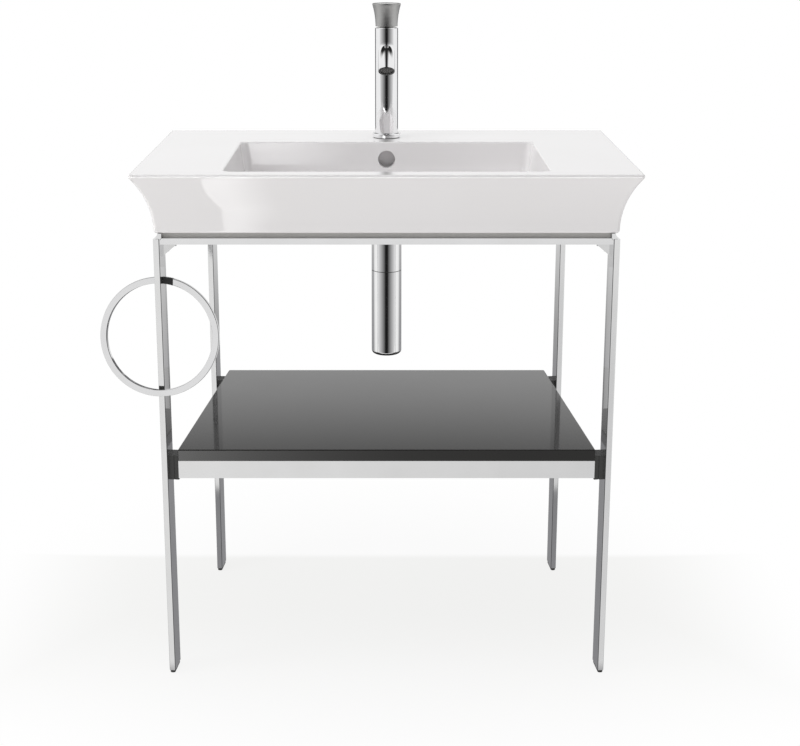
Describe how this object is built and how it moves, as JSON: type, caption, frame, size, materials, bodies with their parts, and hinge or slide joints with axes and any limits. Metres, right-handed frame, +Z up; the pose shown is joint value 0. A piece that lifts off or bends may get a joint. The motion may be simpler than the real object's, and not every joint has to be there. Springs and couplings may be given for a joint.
{
  "type": "vanity basin",
  "caption": "Console washbasin: ceramic bowl with a flared skirt on a flat-bar frame with shelf, swinging towel ring, lift-and-turn mixer, push-down plug and bottle trap.",
  "frame": {"origin": "on the floor, midway across the whole outline with the towel ring, midway between the basin's front edge and the wall", "axes": "+X to the right seen from the front, +Y towards the wall, +Z up"},
  "size_m": [0.8624, 0.49, 1.103],
  "materials": {
    "white_glaze": "gloss",
    "plated_bar": "polished",
    "plated_fitting": "polished",
    "satin_handle": "satin",
    "black_rubber": "matte",
    "dark_plastic": "satin",
    "grey_plastic": "satin",
    "shelf_lacquer": "gloss",
    "raw_brass": "satin",
    "plain_steel": "satin"
  },
  "bodies": {
    "console": {"basin": "white_glaze", "leg_front_left": "plated_bar", "leg_front_right": "plated_bar", "leg_rear_left": "plated_bar", "leg_rear_right": "plated_bar", "rail_front": "plated_bar", "rail_rear": "plated_bar", "rail_left": "plated_bar", "rail_right": "plated_bar", "shelf_rail_front": "plated_bar", "shelf_rail_rear": "plated_bar", "shelf_rail_left": "plated_bar", "shelf_rail_right": "plated_bar", "gussets": "plated_bar", "tap_body": "plated_fitting", "tap_foot_ring": "plated_fitting", "spout": "plated_fitting", "waste_body": "plated_fitting", "trap_union": "plated_fitting", "trap_body": "plated_fitting", "trap_cup": "plated_fitting", "outlet_pipe": "plated_fitting", "outlet_nut": "plated_fitting", "bearing_strip_front": "black_rubber", "bearing_strip_rear": "black_rubber", "bearing_strips_side": "black_rubber", "tap_gasket": "black_rubber", "waste_washer": "black_rubber", "trap_seal": "black_rubber", "cup_seal": "black_rubber", "ring_bumper": "black_rubber", "feet": "dark_plastic", "shelf_blocks": "dark_plastic", "ring_bush": "dark_plastic", "plug_guide": "dark_plastic", "cartridge": "dark_plastic", "dip_tube": "dark_plastic", "aerator_ring": "dark_plastic", "aerator_mesh": "grey_plastic", "shelf_slab": "shelf_lacquer", "cartridge_nut": "raw_brass", "feed_tails": "raw_brass", "feed_nuts": "raw_brass", "waste_backnut": "raw_brass", "gusset_screws": "plain_steel", "shelf_bolts": "plain_steel", "tap_clamp": "plain_steel", "clamp_nut": "plain_steel", "tap_stud": "plain_steel"},
    "rotor": {"rotor": "dark_plastic"},
    "handle": {"handle": "satin_handle", "handle_cap": "satin_handle", "stem": "raw_brass", "grub_screw": "plain_steel"},
    "plug": {"plug": "plated_fitting", "plug_seal": "black_rubber"},
    "ring": {"towel_ring": "plated_fitting", "ring_sleeve": "dark_plastic", "ring_pin": "plain_steel"}
  },
  "joints": [
    {"name": "handle_turn", "type": "hinge", "parent": "console", "child": "rotor", "pos_m": [0.0312, 0.16, 1.05], "axis": [0, 0, 1], "range_deg": [-50, 50]},
    {"name": "handle_lift", "type": "slide", "parent": "rotor", "child": "handle", "axis": [0, 0, 1], "range_m": [0, 0.008]},
    {"name": "plug_push", "type": "slide", "parent": "console", "child": "plug", "axis": [0, 0, 1], "range_m": [-0.0078, 0]},
    {"name": "ring_swing", "type": "hinge", "parent": "console", "child": "ring", "pos_m": [-0.33204, -0.19452, 0.686], "axis": [-0.996, 0.0889, 0], "range_deg": [0, 80]}
  ]
}
